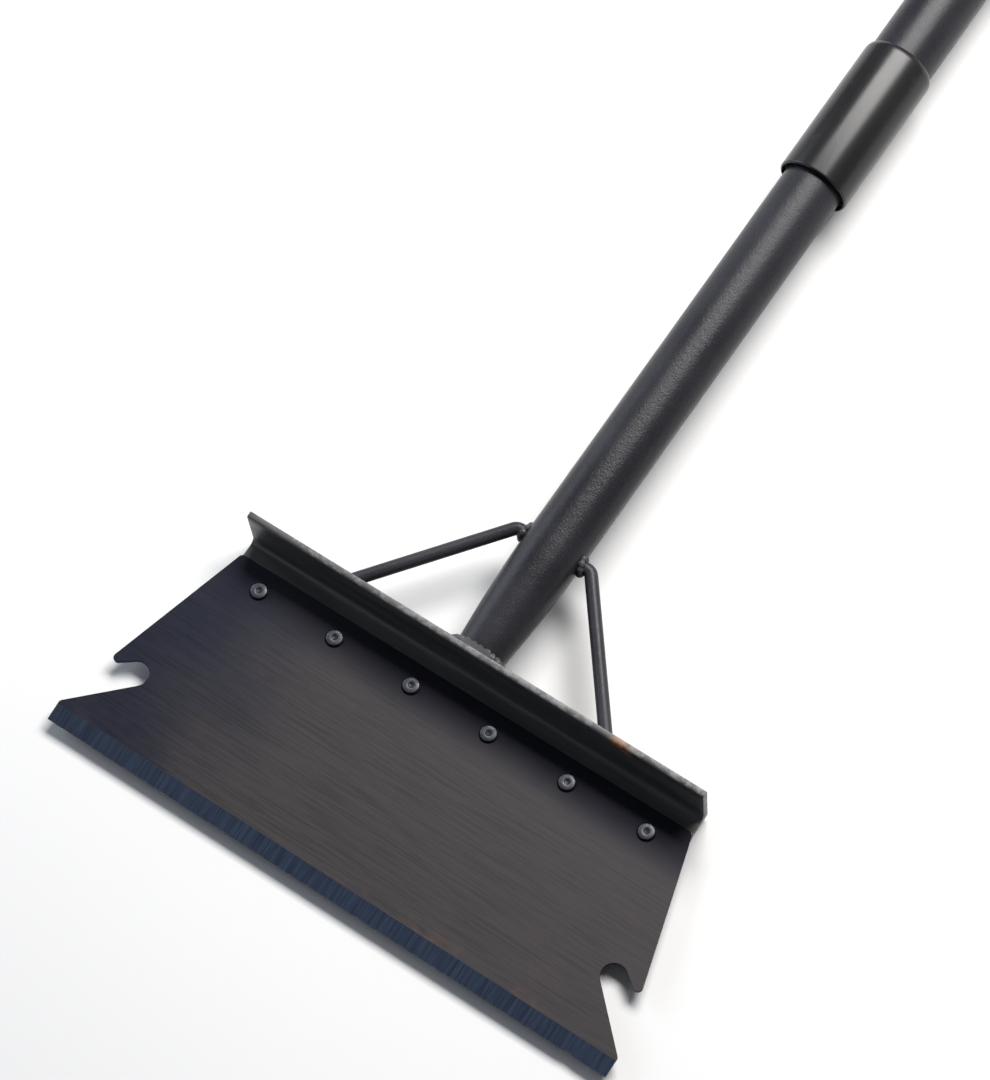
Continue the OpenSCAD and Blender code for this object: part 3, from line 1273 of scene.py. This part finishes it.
@dataclass
class Tubes:
    """The lower tube, swaged down to its weld, and the upper tube that slides over it.

    Attributes:
        datum: Where the tool lies.
        wall: Wall of the lower tube.
        swage_radius: Radius of the lower tube at the weld.
        swage_len: Length of the swaged end.
        upper_wall: Wall of the upper tube.
        sides: Facets round a tube.
    """

    datum: Datum
    wall: float = 1.2 * MM
    swage_radius: float = 11.9 * MM
    swage_len: float = 62.0 * MM
    upper_wall: float = 0.8 * MM
    sides: int = 96

    def __post_init__(self) -> None:
        """Read both tubes' boxes from the frame."""
        self.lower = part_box("lower_tube")
        self.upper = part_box("upper_tube")
        self.radius = radius_of("lower_tube")
        self.foot = self.lower[0].y - self.datum.edge_y

    def swaged(self, height: float) -> float:
        """Return the lower tube's radius at a height above the weld.

        Args:
            height: Distance above the weld.

        Returns:
            The outer radius.
        """
        if height >= self.swage_len:
            return self.radius
        rise = math.sin(math.pi / 2 * height / self.swage_len)
        return self.swage_radius + (self.radius - self.swage_radius) * rise

    def build(self, finishes: Finishes) -> list[Object]:
        """Make both tubes and dress them.

        Args:
            finishes: The tool's materials.

        Returns:
            The lower and the upper tube.
        """
        top = self.lower[1].y - self.datum.edge_y
        steps = [self.swage_len * i / 24 for i in range(25)]
        outside = [(self.swaged(h), self.foot + h) for h in steps]
        inside = [(r - self.wall, y) for r, y in reversed(outside)]
        lip = 0.3 * MM
        section = [
            *outside, (self.radius, top - lip), (self.radius - lip, top),
            (self.radius - self.wall + lip, top), (self.radius - self.wall, top - lip), *inside,
        ]
        lower = as_object("lower_tube", turned(self.datum, section, self.sides, True))
        shade(lower.data, 30.0)
        dress(lower, Body.HEAD, "tube_paint", ["lower_tube"], finishes.tube)
        start, end = (corner.y - self.datum.edge_y for corner in self.upper)
        outer = radius_of("upper_tube")
        bore = outer - self.upper_wall
        lip = 0.2 * MM
        section = [
            (outer - lip, start), (outer, start + lip), (outer, end - lip), (outer - lip, end),
            (bore + lip, end), (bore, end - lip), (bore, start + lip), (bore + lip, start),
        ]
        upper = as_object("upper_tube", turned(self.datum, section, self.sides, True))
        shade(upper.data, 30.0)
        dress(upper, Body.HANDLE, "tube_paint", ["upper_tube"], finishes.tube)
        return [lower, upper]


@dataclass
class Braces:
    """The two bent rods from the angle bar to the sides of the lower tube.

    Attributes:
        datum: Where the tool lies.
        foot_x: Distance of a foot from the middle.
        bend: Place of the bend, as (x, distance above the angle bar).
        radius: Radius of a rod.
        bend_radius: Radius of the bend, at the rod's middle.
        sunk: How far a foot reaches into its weld.
        end_x: Distance of a rod's upper end from the middle, inside the tube's wall.
    """

    datum: Datum
    foot_x: float = 70.0 * MM
    bend: Point = (20.2 * MM, 63.0 * MM)
    radius: float = 3.2 * MM
    bend_radius: float = 4.2 * MM
    sunk: float = 1.2 * MM
    end_x: float = 14.4 * MM

    def path(self, side: int) -> list[Vector]:
        """Return the points along one rod's middle.

        Args:
            side: 1 for the right rod, -1 for the left.

        Returns:
            Points from the foot to the tube's wall.
        """
        bar_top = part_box("angle_bar")[1].y
        corner = Vector((self.bend[0], bar_top + self.bend[1], self.datum.axis_z))
        foot = Vector((self.foot_x, bar_top, self.datum.axis_z))
        along = (corner - foot).normalized()
        inward = Vector((-1.0, 0.0, 0.0))
        half = math.acos(max(-1.0, min(1.0, along.dot(inward)))) / 2
        cut = self.bend_radius * math.tan(half)
        first, last = corner - along * cut, corner + inward * cut
        bend = []
        for i in range(9):
            t = i / 8
            bend.append(first.lerp(corner, t).lerp(corner.lerp(last, t), t))
        start = foot - along * self.sunk
        wall = Vector((self.end_x, corner.y, corner.z))
        points = [start, foot.lerp(first, 0.5), *bend, wall]
        return [Vector((side * p.x, p.y, p.z)) for p in points]

    def build(self, finishes: Finishes) -> list[Object]:
        """Make both rods and dress them.

        Args:
            finishes: The tool's materials.

        Returns:
            The left and the right brace.
        """
        made = []
        for name, side in (("brace_left", -1), ("brace_right", 1)):
            rod = as_object(name, swept(self.path(side), self.radius, 28))
            shade(rod.data, 50.0)
            made.append(dress(rod, Body.HEAD, "brace_paint", [name], finishes.brace))
        return made


@dataclass
class Welds:
    """Weld beads: a rippled ring each, laid by one geometry node tree.

    Attributes:
        datum: Where the tool lies.
    """

    datum: Datum

    def ring(self, name: str, radius: float, bead: float, ripples: int, seed: int) -> Object:
        """Lay a rippled bead on a ring about the upright axis at the origin.

        Args:
            name: The object's name.
            radius: Radius of the ring.
            bead: Radius of the bead.
            ripples: Number of ripples round the ring.
            seed: Seed of the bead's unevenness.

        Returns:
            The bead.
        """
        shape = NodeShape(f"{name}_bead")
        ring_radius = shape.size("Ring radius", "Float", radius)
        bead_radius = shape.size("Bead radius", "Float", bead)
        count = shape.size("Ripples", "Float", float(ripples))
        start = shape.size("Seed", "Float", float(seed))
        path = shape.node(
            "GeometryNodeCurvePrimitiveCircle", None, Resolution=ripples * 8, Radius=ring_radius
        )
        along = shape.node("GeometryNodeSplineParameter").outputs["Factor"]
        turns = shape.math("MULTIPLY", along, shape.math("MULTIPLY", count, math.pi))
        wave = shape.math("ABSOLUTE", shape.math("SINE", turns))
        drift = shape.math("ADD", shape.math("MULTIPLY", along, 9.0), start)
        uneven = shape.node("ShaderNodeTexNoise", {"noise_dimensions": "1D"}, W=drift)
        wave, rough = shape.math("MULTIPLY", wave, 0.34), shape.math("MULTIPLY", uneven.outputs[0], 0.55)
        width = shape.math("MULTIPLY", bead_radius, shape.math("ADD", shape.math("ADD", wave, rough), 0.42))
        sized = shape.node("GeometryNodeSetCurveRadius", None, Curve=path.outputs[0], Radius=width)
        profile = shape.node("GeometryNodeCurvePrimitiveCircle", None, Resolution=14, Radius=1.0)
        solid = shape.node(
            "GeometryNodeCurveToMesh", None,
            Curve=sized.outputs[0], Profile_Curve=profile.outputs[0], Scale=width,
        )
        return shape.grow(name, bmesh.new(), solid.outputs[0])

    def place(self, made: Object, at: Vector, toward: Vector, squash: float) -> None:
        """Set a bead down with its ring's axis along a direction.

        Args:
            made: The bead, about the upright axis at the origin.
            at: Where the ring's middle goes.
            toward: Direction of the ring's axis.
            squash: Factor on the bead's height along that axis.
        """
        turn = toward.to_track_quat("Z", "Y").to_matrix().to_4x4()
        made.data.transform(Matrix.Translation(at) @ turn @ Matrix.Diagonal((1.0, 1.0, squash, 1.0)))

    def build(self, tubes: Tubes, braces: Braces, finishes: Finishes) -> list[Object]:
        """Make every bead and dress it.

        Args:
            tubes: The tubes, for the foot of the lower one.
            braces: The braces, for their ends.
            finishes: The tool's materials.

        Returns:
            The beads.
        """
        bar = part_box("angle_bar")[1]
        up = Vector((0.0, 1.0, 0.0))
        foot = self.ring("tube_weld", tubes.swage_radius + 1.0 * MM, 3.3 * MM, 24, 2)
        self.place(foot, self.datum.on_axis(tubes.foot) + up * 0.5 * MM, up, 0.8)
        for vertex in foot.data.vertices:
            vertex.co.z = min(vertex.co.z, bar.z - 0.05 * MM)
            vertex.co.y = max(vertex.co.y, bar.y - 0.8 * MM)
        shade(foot.data, 70.0)
        made = [dress(foot, Body.HEAD, "weld_paint", ["tube_weld"], finishes.weld)]
        for index, (word, side) in enumerate((("left", -1), ("right", 1))):
            start = self.ring(f"brace_foot_weld_{word}", braces.radius + 0.5 * MM, 1.7 * MM, 9, 5 + index)
            spot = Vector((side * (braces.foot_x - 0.4 * MM), bar.y + 0.3 * MM, self.datum.axis_z))
            self.place(start, spot, up, 0.8)
            end = self.ring(f"brace_top_weld_{word}", braces.radius + 0.6 * MM, 1.9 * MM, 9, 9 + index)
            bend_y = bar.y + braces.bend[1] + 0.4 * MM
            spot = Vector((side * (tubes.radius + 0.3 * MM), bend_y, self.datum.axis_z))
            self.place(end, spot, Vector((side, 0.25, 0.0)), 0.9)
            for bead, node in ((start, f"brace_foot_weld_{word}"), (end, f"brace_top_weld_{word}")):
                shade(bead.data, 70.0)
                made.append(dress(bead, Body.HEAD, "weld_paint", [node], finishes.weld))
        return made


# ---------------------------------------------------------------------------------------------
# The handle's moulded parts, and the lock inside it


@dataclass
class Collar:
    """The moulded collar on the mouth of the upper tube.

    Attributes:
        datum: Where the tool lies.
        shoulder: Length of the rounded shoulder.
        mouth: Radius of the open mouth.
        mouth_depth: Depth of the mouth, down to the lip.
        lip_end: Distance from the mouth's rim to the end of the upper tube.
        lip_fit: Running gap between the lip and the lower tube.
        rim: Rounding of the mouth's rim.
    """

    datum: Datum
    shoulder: float = 4.0 * MM
    mouth: float = 16.9 * MM
    mouth_depth: float = 4.0 * MM
    lip_end: float = 14.0 * MM
    lip_fit: float = 0.08 * MM
    rim: float = 0.5 * MM

    def build(self, finishes: Finishes) -> Object:
        """Make the collar and dress it.

        Args:
            finishes: The tool's materials.

        Returns:
            The collar.
        """
        low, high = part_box("collar")
        start, end = low.y - self.datum.edge_y, high.y - self.datum.edge_y
        outer, tube = radius_of("collar"), radius_of("upper_tube")
        lip, rim = radius_of("lower_tube") + self.lip_fit, self.rim
        bulge = [
            (tube + (outer - tube) * math.cos(t), end - self.shoulder + self.shoulder * math.sin(t))
            for t in (math.pi / 2 * i / 12 for i in range(13))
        ]
        section = [
            *arc((self.mouth + rim, start + rim), rim, 180.0, 270.0, 4),
            *arc((outer - 2 * rim, start + 2 * rim), 2 * rim, -90.0, 0.0, 6),
            *bulge[:-1],
            (tube + 0.1 * MM, end),
            (tube, end - 0.4 * MM),
            (tube, start + self.lip_end),
            (lip, start + self.lip_end),
            (lip, start + self.mouth_depth),
            (self.mouth, start + self.mouth_depth - 1.5 * MM),
        ]
        made = as_object("collar", turned(self.datum, section, 96, True))
        shade(made.data, 35.0)
        return dress(made, Body.HANDLE, "collar_plastic", ["collar"], finishes.collar)


@dataclass
class Grip:
    """The ribbed rubber grip, turned round the upper tube.

    Attributes:
        datum: Where the tool lies.
        ribs: Number of ribs.
        rib: Height of a rib.
        bead: Length of the bead at each end.
        wall: Thickness of the rubber between the ribs.
        belly: How much thicker the grip is halfway along.
    """

    datum: Datum
    ribs: int = 22
    rib: float = 0.9 * MM
    bead: float = 7.0 * MM
    wall: float = 2.4 * MM
    belly: float = 0.7 * MM

    def __post_init__(self) -> None:
        """Read the grip's box from the frame."""
        self.lowest, self.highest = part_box("grip")

    def build(self, finishes: Finishes) -> Object:
        """Make the grip and dress it.

        Args:
            finishes: The tool's materials.

        Returns:
            The grip.
        """
        length = self.highest.y - self.lowest.y
        outer, tube = radius_of("grip"), radius_of("upper_tube")
        start = self.lowest.y - self.datum.edge_y
        section = arc((tube + 0.6 * MM, start + 0.6 * MM), 0.6 * MM, 180.0, 270.0, 4)
        section += arc((outer - 2 * MM, start + 2 * MM), 2 * MM, -90.0, 0.0, 6)
        section += arc((outer - 2 * MM, start + self.bead - 2 * MM), 2 * MM, 0.0, 60.0, 5)
        body = tube + self.wall + self.rib
        first, last = start + self.bead, start + length - self.bead
        steps = self.ribs * 8
        for i in range(steps + 1):
            along = i / steps
            belly = math.sin(math.pi * along) * self.belly
            groove = self.rib * (0.5 - 0.5 * math.cos(math.tau * self.ribs * along)) ** 3
            section.append((body - self.rib + belly + groove * 0.95, first + (last - first) * along))
        section += arc((outer - 2 * MM, last + 2 * MM), 2 * MM, -60.0, 0.0, 5)
        section += arc((outer - 1 * MM, start + length - 1 * MM), 1 * MM, 0.0, 90.0, 5)
        section.append((tube, start + length))
        made = as_object("grip", turned(self.datum, section, 96, True))
        shade(made.data, 40.0)
        return dress(made, Body.HANDLE, "grip_rubber", ["grip"], finishes.grip)


@dataclass
class LockParts:
    """The lock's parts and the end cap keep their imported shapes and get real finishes.

    Attributes:
        moulded: Nodes in the lock's plastic.
        plated: Nodes in zinc plate.
        capped: Nodes in the cap's plastic.
    """

    moulded: tuple[str, ...] = ("lock_plug", "lock_sleeve", "lock_cone")
    plated: tuple[str, ...] = ("lock_washer", "lock_screw")
    capped: tuple[str, ...] = ("end_cap",)

    def build(self, finishes: Finishes) -> None:
        """Assign the finishes.

        Args:
            finishes: The tool's materials.
        """
        pairs = ((self.moulded, finishes.lock), (self.plated, finishes.zinc), (self.capped, finishes.cap))
        for names, material in pairs:
            for name in names:
                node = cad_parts[name]
                node.data.materials.clear()
                node.data.materials.append(material)
                LOG.info("%s keeps its packed shape, in %s", name, material.name)


# ---------------------------------------------------------------------------------------------
# Stage


@dataclass
class Studio:
    """The pale floor, the soft lights and the camera.

    Attributes:
        datum: Where the tool lies.
        aim: Point the camera looks at, as (x, distance from the cutting edge, height).
        distance: Distance of the camera from that point.
        heading: Direction of the view from +Y towards +X, in degrees.
        pitch: How far the view looks down, in degrees.
        roll: Turn of the camera about its view, in degrees.
        lens: Focal length for a 36 mm sensor along the taller side.
    """

    datum: Datum
    aim: tuple[float, float, float] = (-28.72 * MM, 182.32 * MM, 10.0 * MM)
    distance: float = 1777.7 * MM
    heading: float = -42.045
    pitch: float = 67.548
    roll: float = 8.62
    lens: float = 128.7

    def camera(self) -> Object:
        """Place the camera and make it the scene's.

        Returns:
            The camera.
        """
        turn, down = math.radians(self.heading), math.radians(self.pitch)
        ahead = Vector((math.sin(turn) * math.cos(down), math.cos(turn) * math.cos(down), -math.sin(down)))
        target = Vector((self.aim[0], self.datum.edge_y + self.aim[1], self.aim[2]))
        lens = bpy.data.cameras.new("camera")
        lens.lens = self.lens
        lens.sensor_width = 36.0
        lens.clip_start = 0.05
        lens.clip_end = 50.0
        made = bpy.data.objects.new("camera", lens)
        bpy.context.scene.collection.objects.link(made)
        made.location = target - ahead * self.distance
        level = ahead.to_track_quat("-Z", "Y").to_matrix().to_4x4()
        level = level @ Matrix.Rotation(math.radians(-self.roll), 4, "Z")
        made.rotation_euler = level.to_euler()
        bpy.context.scene.camera = made
        return made

    def floor(self) -> Object:
        """Make the pale floor.

        Returns:
            The floor.
        """
        bm = bmesh.new()
        bmesh.ops.create_grid(bm, x_segments=4, y_segments=4, size=6.0)
        made = as_object("floor", bm)
        g = Graph("pale_floor")
        tone = g.mix(g.span(g.noise(1.2, 2.0), 0.3, 0.7, 0.0, 1.0), (0.58, 0.58, 0.58), (0.61, 0.61, 0.61))
        made.data.materials.append(g.finish(tone, 0.8, None, Specular_IOR_Level=0.2))
        return made

    def light(
        self, name: str, toward: Color, distance: float, size: Point, power: float, color: Color
    ) -> None:
        """Hang an oblong soft light that faces the head of the tool.

        Args:
            name: The light's name.
            toward: Direction from the head to the light.
            distance: Distance of the light from the head.
            size: Length and height of the light.
            power: Power in watts.
            color: Light colour.
        """
        lamp = bpy.data.lights.new(name, "AREA")
        lamp.shape = "RECTANGLE"
        lamp.size, lamp.size_y = size
        lamp.energy = power
        lamp.color = color
        made = bpy.data.objects.new(name, lamp)
        bpy.context.scene.collection.objects.link(made)
        centre = Vector((0.0, self.datum.edge_y + 0.15, 0.02))
        way = Vector(toward).normalized()
        made.location = centre + way * distance
        made.rotation_euler = (-way).to_track_quat("-Z", "Y").to_euler()

    def build(self) -> None:
        """Set the stage."""
        bpy.context.scene.view_settings.view_transform = "Standard"
        self.camera()
        self.floor()
        self.light("key", (0.03, 0.63, 0.77), 1.7, (1.3, 0.62), 66.0, (1.0, 0.985, 0.965))
        self.light("left", (-0.93, 0.1, 0.36), 2.0, (1.2, 1.2), 22.0, (0.8, 0.87, 1.0))
        self.light("front", (-0.55, -0.8, 0.4), 2.0, (0.9, 0.6), 4.5, (0.8, 0.88, 1.0))
        world = bpy.data.worlds.new("studio")
        world.use_nodes = True
        background = world.node_tree.nodes["Background"]
        background.inputs["Color"].default_value = (0.9, 0.94, 1.0, 1.0)
        background.inputs["Strength"].default_value = 0.12
        bpy.context.scene.world = world


def main() -> None:
    """Build the tool and its stage."""
    logging.basicConfig(level=logging.INFO, format="%(name)s: %(message)s")
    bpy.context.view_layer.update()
    datum = Datum.read()
    Studio(datum).build()
    finishes = Finishes.make(datum.edge_y)
    Blade(datum).build(finishes)
    AngleBar().build(finishes)
    RivetRow(datum).build(finishes)
    tubes = Tubes(datum)
    tubes.build(finishes)
    braces = Braces(datum)
    braces.build(finishes)
    Welds(datum).build(tubes, braces, finishes)
    Collar(datum).build(finishes)
    Grip(datum).build(finishes)
    LockParts().build(finishes)


if __name__ == "__main__":
    main()
